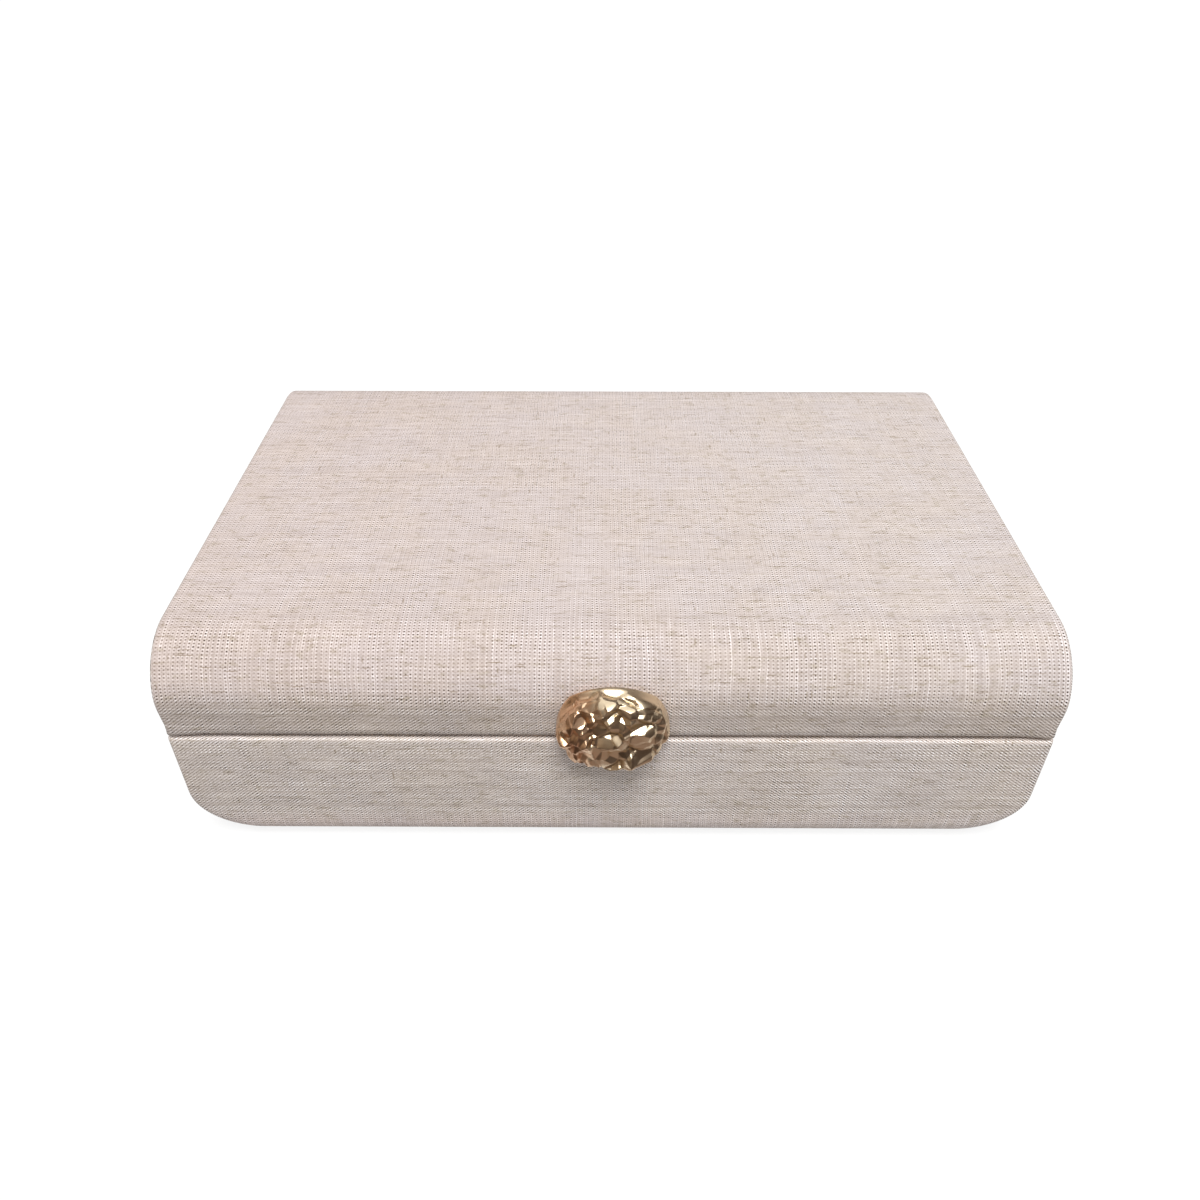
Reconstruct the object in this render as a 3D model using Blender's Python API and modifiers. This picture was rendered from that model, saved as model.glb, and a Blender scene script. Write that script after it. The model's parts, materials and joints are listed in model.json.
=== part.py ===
"""Linen-covered box with a hinged lid, a crumpled metal clasp and a lined inside.

Two moulded fibreboard shells are wrapped in linen, which turns in over their rims.
They are joined along the back by a continuous brass hinge let into the rims.
The back rims are bevelled, and the bevels meet when the lid has opened far enough.
The clasp hangs from the lid over the base, where its magnet faces a steel keeper.

Lengths are in metres. X runs along the width, the front faces -Y, +Z is up, and the
origin is on the table under the middle of the closed box.
"""

import math
from collections import namedtuple

import bmesh
import bpy
from mathutils import Matrix, Vector

# Outer form
WIDTH = 0.210
DEPTH = 0.1455
HEIGHT = 0.062
LID_HEIGHT = 0.0244
LID_LONG_ROLL = 0.0162
LID_END_EDGE = 0.0010
BASE_END_ROLL = 0.0163
BASE_LONG_ROLL = 0.0065
CORNER = 0.0015
UNDERSIDE_CORNER = 0.008

# Layers of a wall, from the outside in
LINEN = 0.0007
WALL = 0.0045
LINING = 0.0008
FIT = 0.0003
TURN_IN = 0.008
LINING_DROP = 0.0016

# Rims
SEAM_GAP = 0.0003
RIM_FILLET = 0.0016
RIM_INNER_FILLET = 0.0010
TIGHTEST = 0.0004

# Underside
UNDERSIDE_PANEL = 0.0012
HEM = 0.012
PANEL_OVERLAP = 0.009

# Pads
BASE_PAD = 0.0045
LID_PAD = 0.0030
PAD_MARGIN = 0.0006
PAD_CROWN = 0.0006

# Hinge
HINGE_INSET = 0.020
AXIS_INSET = 0.0034
BARREL_RADIUS = 0.0017
PIN_RADIUS = 0.0007
PIN_PLAY = 0.0002
LEAF = 0.0007
FLANGE = 0.0082
BEND_RADIUS = 0.0010
KNUCKLES = 11
OPEN_ANGLE = math.radians(100)

# Hinge screws
SCREWS = 5
SCREW_INSET = 0.013
SCREW_LEVEL = 0.0057
SCREW_HEAD_RADIUS = 0.0014
SCREW_HEAD = 0.0005
SCREW_SHANK_RADIUS = 0.0007
SCREW_LENGTH = 0.0042

# Clasp
CLASP_WIDTH = 0.0262
CLASP_HEIGHT = 0.0236
CLASP_PROUD = 0.0090
CLASP_RISE = 0.0056
CLASP_RIM = 0.0028
CLASP_STANDOFF = 0.0003
CLASP_STONES = 3
CLASP_POINTS = 56
CLASP_ROUGHNESS = 0.16
CLASP_FULLNESS = 2.7

# Clasp fixings
CLASP_SCREW_SPACING = 0.0100
CLASP_SCREW_LEVEL = 0.0095
CLASP_SCREW_RADIUS = 0.0011
CLASP_SCREW_HEAD_RADIUS = 0.0022
CLASP_SCREW_HEAD = 0.0012
CLASP_SCREW_GRIP = 0.0040
BACKING_LENGTH = 0.0190
BACKING_HEIGHT = 0.0064
BACKING_PLATE = 0.0008
MAGNET_LENGTH = 0.0095
MAGNET_HEIGHT = 0.0032
MAGNET_DEPTH = 0.0015
MAGNET_LEVEL = 0.0027
KEEPER_LENGTH = 0.0240
KEEPER_HEIGHT = 0.0052
KEEPER_DEPTH = 0.0010
KEEPER_DROP = 0.0009
POCKET_CORNER = 0.0006

# Facets
ROLL_STEPS = 7
SHORT_ROLL_STEPS = 3
CORNER_STEPS = 3
FILLET_STEPS = 3
ROUND_SIDES = 20
SMALL_SIDES = 12

# Places that follow from the sizes
HINGE_LENGTH = WIDTH - 2 * HINGE_INSET
SCREW_PITCH = (HINGE_LENGTH - 2 * SCREW_INSET) / (SCREWS - 1)
SEAM = HEIGHT - LID_HEIGHT
UNDERSIDE = UNDERSIDE_PANEL + FIT
SHEET = max(LINEN, LEAF)
SHELL_OUT = LINEN + FIT
SHELL_IN = SHELL_OUT + WALL
TURN_OUT = SHELL_IN + FIT
TURN_FACE = TURN_OUT + LINEN
FLANGE_FACE = TURN_OUT + LEAF
LINING_OUT = max(TURN_FACE, FLANGE_FACE) + FIT + SCREW_HEAD + FIT
LINING_IN = LINING_OUT + LINING
COVER_RIM = SEAM_GAP / 2
SHELL_RIM = COVER_RIM + SHEET + FIT
LINING_RIM = COVER_RIM + LINING_DROP
AXIS_Y = DEPTH / 2 - AXIS_INSET
BEVEL = OPEN_ANGLE / 2
BORE_RADIUS = PIN_RADIUS + PIN_PLAY
FRONT = -DEPTH / 2
CLASP_BACK = FRONT - CLASP_STANDOFF
CLASP_CENTRE = SEAM + CLASP_RISE

# One half of the box: sign +1 is the lid, -1 the base, and reach is how far its flat panel is from the seam
Half = namedtuple("Half", "sign reach end_roll long_roll panel_corner")
LID = Half(1, LID_HEIGHT, LID_END_EDGE, LID_LONG_ROLL, CORNER)
BASE = Half(-1, SEAM - UNDERSIDE, BASE_END_ROLL, BASE_LONG_ROLL, UNDERSIDE_CORNER)

# One slice through a half, at a level measured from the seam: the insets of its ends, front and back
Slice = namedtuple("Slice", "level ends front back corner")


def clear_scene():
    for obj in list(bpy.data.objects):
        bpy.data.objects.remove(obj, do_unlink=True)


def collection(name):
    made = bpy.data.collections.new(name)
    bpy.context.scene.collection.children.link(made)
    return made


clear_scene()
PARTS = collection("linen_box")
CUTTERS = collection("linen_box_cutters")


def finish(obj, colour, roughness, metallic=0.0):
    material = bpy.data.materials.new(obj.name)
    material.use_nodes = True
    shader = material.node_tree.nodes["Principled BSDF"]
    shader.inputs["Base Color"].default_value = (*colour, 1)
    shader.inputs["Roughness"].default_value = roughness
    shader.inputs["Metallic"].default_value = metallic
    material.diffuse_color = (*colour, 1)
    obj.data.materials.append(material)


def linen(obj):
    finish(obj, (0.58, 0.52, 0.47), 0.9)


def fibreboard(obj):
    finish(obj, (0.32, 0.22, 0.14), 0.8)


def suedette(obj):
    finish(obj, (0.62, 0.56, 0.48), 0.95)


def brass(obj):
    finish(obj, (0.70, 0.50, 0.24), 0.3, 1.0)


def steel(obj):
    finish(obj, (0.55, 0.55, 0.56), 0.35, 1.0)


def card(obj):
    finish(obj, (0.42, 0.36, 0.28), 0.9)


def object_from(bm, name, group=PARTS):
    mesh = bpy.data.meshes.new(name)
    bm.to_mesh(mesh)
    bm.free()
    obj = bpy.data.objects.new(name, mesh)
    group.objects.link(obj)
    if group is CUTTERS:
        obj.hide_render = True
        obj.display_type = "WIRE"
    return obj


def smooth(obj, angle=math.radians(35)):
    obj.data.shade_smooth()
    obj.data.set_sharp_from_angle(angle=angle)


def boolean(obj, tool, operation="DIFFERENCE"):
    modifier = obj.modifiers.new(f"{operation.lower()} {tool.name}", "BOOLEAN")
    modifier.operation = operation
    modifier.solver = "EXACT"
    modifier.object = tool


def height_of(half, level):
    """World height of a level measured from the seam into a half."""
    return SEAM + half.sign * level


# Slices and lofts

def roll_inset(radius, rise):
    """How far a quarter-round edge has drawn in, at a rise above the flat panel."""
    if rise >= radius:
        return 0.0
    return radius - math.sqrt(radius**2 - (radius - rise) ** 2)


def roll_rises(radius, steps):
    quarter = math.pi / 2
    return [radius * (1 - math.cos(quarter * i / steps)) for i in range(steps + 1)]


def bevel_inset(inset, level):
    """Inset of a layer's back bevel. The outermost one passes half a fit from the hinge's axis."""
    start = AXIS_INSET + (inset + FIT / 2) / math.sin(BEVEL)
    return start - level / math.tan(BEVEL)


def bevel_foot(inset):
    """Level at which a layer's back wall turns into its bevel."""
    start = AXIS_INSET + (inset + FIT / 2) / math.sin(BEVEL)
    return (start - inset) * math.tan(BEVEL)


def wall_slice(half, inset, skin, level, bevelled):
    """A layer's slice. skin is the distance from the half's outer panel to the layer's own."""
    rise = max(half.reach - skin - level, 0.0)
    end_roll = max(half.end_roll - inset, TIGHTEST)
    long_roll = max(half.long_roll - inset, TIGHTEST)
    front = inset + roll_inset(long_roll, rise)
    back = max(front, bevel_inset(inset, level)) if bevelled else front
    spread = max(0.0, 1 - rise / max(end_roll, long_roll))
    corner = CORNER + (half.panel_corner - CORNER) * spread**2 - inset
    return Slice(level, inset + roll_inset(end_roll, rise), front, back, max(corner, TIGHTEST))


def wall(half, inset, skin, rim, bevelled):
    """Slices of one face of a layer, from its flat panel to the rim."""
    panel = half.reach - skin
    rises = set()
    for roll in (half.end_roll, half.long_roll):
        radius = max(roll - inset, TIGHTEST)
        steps = ROLL_STEPS if radius > 2 * RIM_FILLET else SHORT_ROLL_STEPS
        rises.update(roll_rises(radius, steps))
    levels = {panel - rise for rise in rises if panel - rise > rim}
    if bevelled and rim < bevel_foot(inset) < panel:
        levels.add(bevel_foot(inset))
    levels.add(rim)
    kept = []
    for level in sorted(levels, reverse=True):
        if not kept or kept[-1] - level > FIT / 3 or level == rim:
            kept.append(level)
    return [wall_slice(half, inset, skin, level, bevelled) for level in kept]


def rim(outer, inner, top, outer_fillet, inner_fillet, bevelled):
    """Slices over the top of a rim, from its outer face to its inner one, with both edges rounded."""
    found = []
    for i in range(FILLET_STEPS + 1):
        turn = math.pi / 2 * i / FILLET_STEPS
        inset = outer + outer_fillet * (1 - math.cos(turn))
        found.append((inset, top + outer_fillet * (1 - math.sin(turn))))
    for i in range(FILLET_STEPS + 1):
        turn = math.pi / 2 * (1 - i / FILLET_STEPS)
        inset = inner - inner_fillet * (1 - math.cos(turn))
        found.append((inset, top + inner_fillet * (1 - math.sin(turn))))
    slices = []
    for inset, level in found:
        back = max(inset, bevel_inset(outer, level)) if bevelled else inset
        slices.append(Slice(level, inset, inset, back, max(CORNER - inset, TIGHTEST)))
    return slices


def ring(bm, half, cut):
    """The rounded rectangle of one slice, as a ring of vertices."""
    right = WIDTH / 2 - cut.ends
    low, high = -DEPTH / 2 + cut.front, DEPTH / 2 - cut.back
    corner = cut.corner
    z = height_of(half, cut.level)
    corners = ((right, low, -90), (right, high, 0), (-right, high, 90), (-right, low, 180))
    verts = []
    for x, y, start in corners:
        centre = Vector((x - math.copysign(corner, x), y - math.copysign(corner, y), z))
        for i in range(CORNER_STEPS + 1):
            turn = math.radians(start + 90 * i / CORNER_STEPS)
            offset = Vector((math.cos(turn), math.sin(turn), 0)) * corner
            verts.append(bm.verts.new(centre + offset))
    return verts


def loft(name, half, slices, closed=False):
    """A solid skinned over slices. It is capped at both ends, or closed into a frame round an opening."""
    bm = bmesh.new()
    rings = [ring(bm, half, cut) for cut in slices]
    pairs = list(zip(rings, rings[1:]))
    if closed:
        pairs.append((rings[-1], rings[0]))
    for near, far in pairs:
        for i in range(len(near)):
            j = (i + 1) % len(near)
            bm.faces.new((near[i], near[j], far[j], far[i]))
    if not closed:
        bm.faces.new(rings[0])
        bm.faces.new(rings[-1])
    bmesh.ops.recalc_face_normals(bm, faces=bm.faces)
    obj = object_from(bm, name)
    smooth(obj)
    return obj


def joined(*runs):
    """Runs of slices in a row, leaving out a slice that repeats the one before it."""
    slices = []
    for run in runs:
        for cut in run:
            if not slices or max(abs(a - b) for a, b in zip(cut, slices[-1])) > 1e-6:
                slices.append(cut)
    return slices


# Simple solids

def cylinder_x(name, y, z, radius, x_from, x_to, sides=ROUND_SIDES, group=PARTS):
    bm = bmesh.new()
    place = Matrix.Translation(((x_from + x_to) / 2, y, z)) @ Matrix.Rotation(math.pi / 2, 4, "Y")
    bmesh.ops.create_cone(
        bm, cap_ends=True, segments=sides, radius1=radius, radius2=radius, depth=x_to - x_from, matrix=place
    )
    return object_from(bm, name, group)


def add_cylinder_y(bm, x, z, radius, y_from, y_to, sides=SMALL_SIDES):
    place = Matrix.Translation((x, (y_from + y_to) / 2, z)) @ Matrix.Rotation(math.pi / 2, 4, "X")
    bmesh.ops.create_cone(
        bm, cap_ends=True, segments=sides, radius1=radius, radius2=radius, depth=y_to - y_from, matrix=place
    )


def add_block(bm, low, high):
    size = [b - a for a, b in zip(low, high)]
    centre = [(a + b) / 2 for a, b in zip(low, high)]
    bmesh.ops.create_cube(bm, size=1, matrix=Matrix.Translation(centre) @ Matrix.Diagonal((*size, 1)))


def block(name, low, high, group=PARTS, round_y=0.0):
    """A block, with the edges that run along Y rounded where a radius is given."""
    bm = bmesh.new()
    add_block(bm, low, high)
    if round_y:
        edges = [e for e in bm.edges if abs((e.verts[0].co - e.verts[1].co).y) > (high[1] - low[1]) / 2]
        bmesh.ops.bevel(bm, geom=edges, offset=round_y, segments=FILLET_STEPS, affect="EDGES", profile=0.5)
    return object_from(bm, name, group)


def cutter_cylinders_y(name, centres, radius, y_from, y_to, sides=SMALL_SIDES):
    bm = bmesh.new()
    for x, z in centres:
        add_cylinder_y(bm, x, z, radius, y_from, y_to, sides)
    return object_from(bm, name, CUTTERS)


def row(count, pitch):
    """Places along X of a row centred on the box."""
    return [(i - (count - 1) / 2) * pitch for i in range(count)]


# Shells, covers and linings

def shell(name, half):
    obj = loft(
        name,
        half,
        joined(
            wall(half, SHELL_OUT, SHELL_OUT, SHELL_RIM + shell_fillet(), True),
            rim(SHELL_OUT, SHELL_IN, SHELL_RIM, shell_fillet(), TIGHTEST, True),
            reversed(wall(half, SHELL_IN, SHELL_IN, SHELL_RIM + TIGHTEST, False)),
        ),
    )
    fibreboard(obj)
    return obj


def shell_fillet():
    return max(RIM_FILLET - SHELL_OUT, TIGHTEST)


def cloth(half, name):
    """The linen of one half: its outer face, over the rim to the turned-in edge, and back underneath."""
    inner_fillet = max(RIM_FILLET - LINEN, TIGHTEST)
    turned = COVER_RIM + TURN_IN
    under = COVER_RIM + LINEN
    outside = wall(half, 0.0, 0.0, COVER_RIM + RIM_FILLET, True)
    over = rim(0.0, TURN_FACE, COVER_RIM, RIM_FILLET, RIM_INNER_FILLET, True)
    edge = [wall_slice(half, inset, 0.0, turned, False) for inset in (TURN_FACE, TURN_OUT)]
    tight = max(RIM_INNER_FILLET - LINEN, TIGHTEST)
    back_under = list(reversed(rim(LINEN, TURN_OUT, under, inner_fillet, tight, True)))
    inside = list(reversed(wall(half, LINEN, LINEN, under + inner_fillet, True)))
    slices = joined(outside, over, edge, back_under, inside)
    closed = half is BASE
    if closed:
        slices = [hem_slice(slices[0])] + slices + [hem_slice(slices[-1])]
    obj = loft(name, half, slices, closed)
    linen(obj)
    return obj


def hem_slice(cut):
    """The edge of the linen that is turned under the base, inside the slice where the roll ends."""
    return cut._replace(ends=cut.ends + HEM, front=cut.front + HEM, back=cut.back + HEM)


def lining(name, half):
    skin = SHELL_IN + FIT
    obj = loft(
        name,
        half,
        joined(
            wall(half, LINING_OUT, skin, LINING_RIM + TIGHTEST / 2, False),
            rim(LINING_OUT, LINING_IN, LINING_RIM, TIGHTEST / 2, TIGHTEST / 2, False),
            reversed(wall(half, LINING_IN, skin + LINING, LINING_RIM + TIGHTEST / 2, False)),
        ),
    )
    suedette(obj)
    return obj


def pad(name, half, thickness):
    """A soft panel on the lining's flat, with a rounded edge and a slight crown."""
    skin = SHELL_IN + FIT + LINING + FIT
    flat = half.reach - skin
    ends = max(half.end_roll, LINING_IN) + PAD_MARGIN
    long_edge = max(half.long_roll, LINING_IN) + PAD_MARGIN
    body = thickness - PAD_CROWN
    edge = body / 2
    slices = []
    for i in range(2 * FILLET_STEPS + 1):
        turn = math.pi / 2 * (i / FILLET_STEPS - 1)
        drawn_in = edge * (1 - math.cos(turn))
        level = flat - edge - edge * math.sin(turn)
        slices.append(
            Slice(level, ends + drawn_in, long_edge + drawn_in, long_edge + drawn_in, CORNER + edge)
        )
    crown = slices[-1]
    slope = DEPTH / 6
    slices.append(
        Slice(flat - thickness, crown.ends + slope, crown.front + slope, crown.back + slope, slope)
    )
    obj = loft(name, half, slices)
    suedette(obj)
    return obj


def plate(name, low, high, ends, long_edge, corner, edge):
    """A flat rounded sheet under the base between two heights, with its lower edge eased."""
    slices = [
        Slice(SEAM - high, ends, long_edge, long_edge, corner),
        Slice(SEAM - low - edge, ends, long_edge, long_edge, corner),
        Slice(SEAM - low - edge / 3, ends + edge / 3, long_edge + edge / 3, long_edge + edge / 3, corner),
        Slice(SEAM - low, ends + edge, long_edge + edge, long_edge + edge, corner),
    ]
    return loft(name, BASE, slices)


def underside():
    panel = plate(
        "underside_panel",
        0.0,
        UNDERSIDE_PANEL,
        BASE_END_ROLL + HEM - PANEL_OVERLAP,
        BASE_LONG_ROLL + HEM - PANEL_OVERLAP,
        UNDERSIDE_CORNER,
        LINEN / 2,
    )
    linen(panel)
    filler = plate(
        "underside_filler_card",
        UNDERSIDE,
        UNDERSIDE + LINEN,
        BASE_END_ROLL + HEM + FIT,
        BASE_LONG_ROLL + HEM + FIT,
        UNDERSIDE_CORNER,
        LINEN / 4,
    )
    card(filler)


# Hinge

def knuckle_spans(own):
    """Stretches of the barrel that a leaf owns, or leaves to the other, each short of the next by a fit."""
    pitch = HINGE_LENGTH / KNUCKLES
    spans = []
    for i in range(KNUCKLES):
        if (i % 2 == 0) == own:
            left = -HINGE_LENGTH / 2 + i * pitch
            spans.append((left + FIT / 2, left + pitch - FIT / 2))
    return spans


def leaf_plate(name, half):
    """The leaf before its knuckles: a web over the rim and a flange bent down inside the wall."""
    rim_face = SHELL_RIM - FIT - LEAF
    seat = SHELL_RIM - FIT
    eye = AXIS_Y - (BARREL_RADIUS + BORE_RADIUS) / 2
    face = DEPTH / 2 - FLANGE_FACE
    back = DEPTH / 2 - TURN_OUT
    foot = rim_face + FLANGE
    outline = [(eye, seat), (eye, rim_face)]
    for i in range(FILLET_STEPS + 1):
        turn = math.pi / 2 * i / FILLET_STEPS
        outline.append(
            (face + BEND_RADIUS * (1 - math.sin(turn)), rim_face + BEND_RADIUS * (1 - math.cos(turn)))
        )
    outline += [(face, foot), (back, foot), (back, seat)]
    bm = bmesh.new()
    verts = [bm.verts.new((-HINGE_LENGTH / 2, y, height_of(half, level))) for y, level in outline]
    side = bm.faces.new(verts)
    grown = bmesh.ops.extrude_face_region(bm, geom=[side])["geom"]
    moved = [v for v in grown if isinstance(v, bmesh.types.BMVert)]
    bmesh.ops.translate(bm, verts=moved, vec=(HINGE_LENGTH, 0, 0))
    bmesh.ops.recalc_face_normals(bm, faces=bm.faces)
    return object_from(bm, name)


def hinge_leaf(name, half, own):
    leaf = leaf_plate(name, half)
    clearance = BARREL_RADIUS + FIT
    notches = bmesh.new()
    for left, right in knuckle_spans(not own):
        low = (left - FIT, AXIS_Y - clearance, SEAM - clearance)
        high = (right + FIT, AXIS_Y + clearance, SEAM + clearance)
        add_block(notches, low, high)
    boolean(leaf, object_from(notches, f"{name}_notches", CUTTERS))
    eyes = bmesh.new()
    for left, right in knuckle_spans(own):
        place = Matrix.Translation(((left + right) / 2, AXIS_Y, SEAM)) @ Matrix.Rotation(math.pi / 2, 4, "Y")
        bmesh.ops.create_cone(
            eyes,
            cap_ends=True,
            segments=ROUND_SIDES,
            radius1=BARREL_RADIUS,
            radius2=BARREL_RADIUS,
            depth=right - left,
            matrix=place,
        )
    boolean(leaf, object_from(eyes, f"{name}_eyes", CUTTERS), "UNION")
    boolean(leaf, BORE)
    holes = [(x, height_of(half, SCREW_LEVEL)) for x in row(SCREWS, SCREW_PITCH)]
    inside, outside = DEPTH / 2 - FLANGE_FACE - FIT, DEPTH / 2 - SHELL_IN
    boolean(
        leaf,
        cutter_cylinders_y(f"{name}_screw_holes", holes, SCREW_SHANK_RADIUS + FIT, inside, outside),
    )
    smooth(leaf)
    brass(leaf)
    return leaf


def turned_screw_mesh(name, head_radius, head, shank_radius, length):
    """A screw standing on its tip: a low domed head over a shank that tapers at its end."""
    tip = shank_radius * 1.5
    profile = [
        (0.0, head),
        (head_radius * 0.55, head * 0.92),
        (head_radius * 0.9, head * 0.55),
        (head_radius, 0.0),
        (shank_radius, 0.0),
        (shank_radius, -length + tip),
        (shank_radius * 0.4, -length),
        (0.0, -length),
    ]
    mesh = bpy.data.meshes.new(name)
    edges = [(i, i + 1) for i in range(len(profile) - 1)]
    mesh.from_pydata([(x, 0, z) for x, z in profile], edges, [])
    return mesh


def fastener(name, mesh, place, sides, metal):
    """A screw with its head inside the box, driven outwards along Y from the point under its head."""
    obj = bpy.data.objects.new(name, mesh)
    PARTS.objects.link(obj)
    obj.location = place
    obj.rotation_euler = (math.pi / 2 * place_sign(place), 0, 0)
    turned = obj.modifiers.new("turned", "SCREW")
    turned.steps = sides
    turned.render_steps = sides
    turned.use_merge_vertices = True
    turned.merge_threshold = 0.00001
    if not mesh.materials:
        metal(obj)
    return obj


def place_sign(place):
    """+1 drives a screw to the back of the box, -1 to the front."""
    return 1 if place[1] > 0 else -1


def hinge():
    clearance = BARREL_RADIUS + FIT
    end = HINGE_LENGTH / 2
    groove = cylinder_x("barrel_groove", AXIS_Y, SEAM, clearance, -end - FIT, end + FIT, group=CUTTERS)
    depth = COVER_RIM + max(TURN_IN, FLANGE) + FIT
    trim = block(
        "linen_trim_at_hinge",
        (-end - FIT, DEPTH / 2 - TURN_FACE - FIT, SEAM - depth),
        (end + FIT, AXIS_Y, SEAM + depth),
        CUTTERS,
    )
    screw = turned_screw_mesh(
        "hinge_screw", SCREW_HEAD_RADIUS, SCREW_HEAD, SCREW_SHANK_RADIUS, SCREW_LENGTH
    )
    under_head = DEPTH / 2 - FLANGE_FACE - FIT
    for half, word, own, body in ((BASE, "base", True, base_pieces), (LID, "lid", False, lid_pieces)):
        boolean(body["shell"], groove)
        boolean(body["cover"], groove)
        boolean(body["cover"], trim)
        body["leaf"] = hinge_leaf(f"hinge_{word}_leaf", half, own)
        level = height_of(half, SCREW_LEVEL)
        places = row(SCREWS, SCREW_PITCH)
        pilot = cutter_cylinders_y(
            f"{word}_pilot_holes",
            [(x, level) for x in places],
            SCREW_SHANK_RADIUS + FIT,
            DEPTH / 2 - SHELL_IN - FIT,
            under_head + SCREW_LENGTH + FIT,
        )
        boolean(body["shell"], pilot)
        for i, x in enumerate(places):
            name = f"hinge_{word}_screw_{i + 1}"
            body[name] = fastener(name, screw, (x, under_head, level), SMALL_SIDES, brass)
    pin = cylinder_x("hinge_pin", AXIS_Y, SEAM, PIN_RADIUS, -end, end)
    smooth(pin)
    steel(pin)
    base_pieces["pin"] = pin


# Clasp

def fraction(value):
    return value - math.floor(value)


def stone(bm, seed):
    """Adds a many-sided lump: the hull of points spread evenly over a full, rounded block at uneven radii."""
    golden = math.pi * (3 - math.sqrt(5))
    points = []
    for i in range(CLASP_POINTS):
        lift = 1 - 2 * (i + 0.5) / CLASP_POINTS
        turn = golden * i + seed * 2.4
        swell = 1 - CLASP_ROUGHNESS * fraction((i + 1) * 0.7548777 + seed * 0.5698403)
        flat = math.sqrt(1 - lift * lift)
        way = Vector((flat * math.cos(turn), lift, flat * math.sin(turn)))
        reach = (flat**CLASP_FULLNESS + abs(lift) ** CLASP_FULLNESS) ** (-1 / CLASP_FULLNESS)
        points.append(bm.verts.new(way * reach * swell))
    hull = bmesh.ops.convex_hull(bm, input=points)
    spare = [v for v in hull["geom_interior"] if isinstance(v, bmesh.types.BMVert)]
    bmesh.ops.delete(bm, geom=spare, context="VERTS")


def lump(name, seed, group):
    """A stone squeezed to the clasp's oval and turned a little about its own centre."""
    bm = bmesh.new()
    stone(bm, seed)
    bmesh.ops.rotate(bm, verts=bm.verts, cent=(0, 0, 0), matrix=Matrix.Rotation(seed * 0.9, 3, "Y"))
    margin = CLASP_RIM / 8
    size = (CLASP_WIDTH / 2 - margin, CLASP_PROUD, CLASP_HEIGHT / 2 - margin)
    bmesh.ops.scale(bm, verts=bm.verts, vec=size)
    bmesh.ops.translate(bm, verts=bm.verts, vec=(0, CLASP_BACK, CLASP_CENTRE))
    half = CLASP_RIM / 2
    bmesh.ops.bisect_plane(
        bm,
        geom=bm.verts[:] + bm.edges[:] + bm.faces[:],
        dist=1e-7,
        plane_co=(0, CLASP_BACK - half, 0),
        plane_no=(0, 1, 0),
        clear_outer=True,
    )
    bmesh.ops.holes_fill(bm, edges=[e for e in bm.edges if e.is_boundary])
    bmesh.ops.recalc_face_normals(bm, faces=bm.faces)
    return object_from(bm, name, group)


def clasp_rim(name):
    """The smooth oval that the crumpled dome rises from, flat at the back and eased at the front."""
    bm = bmesh.new()
    centre = Vector((0, CLASP_BACK - CLASP_RIM / 2, CLASP_CENTRE))
    place = Matrix.Translation(centre) @ Matrix.Rotation(math.pi / 2, 4, "X")
    bmesh.ops.create_cone(
        bm, cap_ends=True, segments=4 * ROLL_STEPS, radius1=1, radius2=1, depth=CLASP_RIM, matrix=place
    )
    for vert in bm.verts:
        vert.co.x *= CLASP_WIDTH / 2
        vert.co.z = CLASP_CENTRE + (vert.co.z - CLASP_CENTRE) * CLASP_HEIGHT / 2
    front = min(v.co.y for v in bm.verts)
    edges = [e for e in bm.edges if all(abs(v.co.y - front) < FIT / 10 for v in e.verts)]
    bmesh.ops.bevel(
        bm, geom=edges, offset=CLASP_RIM / 3, segments=FILLET_STEPS - 1, affect="EDGES", profile=0.5
    )
    return object_from(bm, name)


def magnet_in(nugget):
    """The magnet, in a pocket in the back of the nugget's lower part."""
    z = SEAM - MAGNET_LEVEL
    reach_x, reach_z = MAGNET_LENGTH / 2, MAGNET_HEIGHT / 2
    magnet = block(
        "clasp_magnet",
        (-reach_x, CLASP_BACK - FIT - MAGNET_DEPTH, z - reach_z),
        (reach_x, CLASP_BACK - FIT, z + reach_z),
        round_y=POCKET_CORNER,
    )
    steel(magnet)
    pocket = block(
        "magnet_pocket",
        (-reach_x - FIT, CLASP_BACK - MAGNET_DEPTH - 2 * FIT, z - reach_z - FIT),
        (reach_x + FIT, CLASP_BACK + FIT, z + reach_z + FIT),
        CUTTERS,
        round_y=POCKET_CORNER,
    )
    boolean(nugget, pocket)
    lid_pieces["magnet"] = magnet


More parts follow.
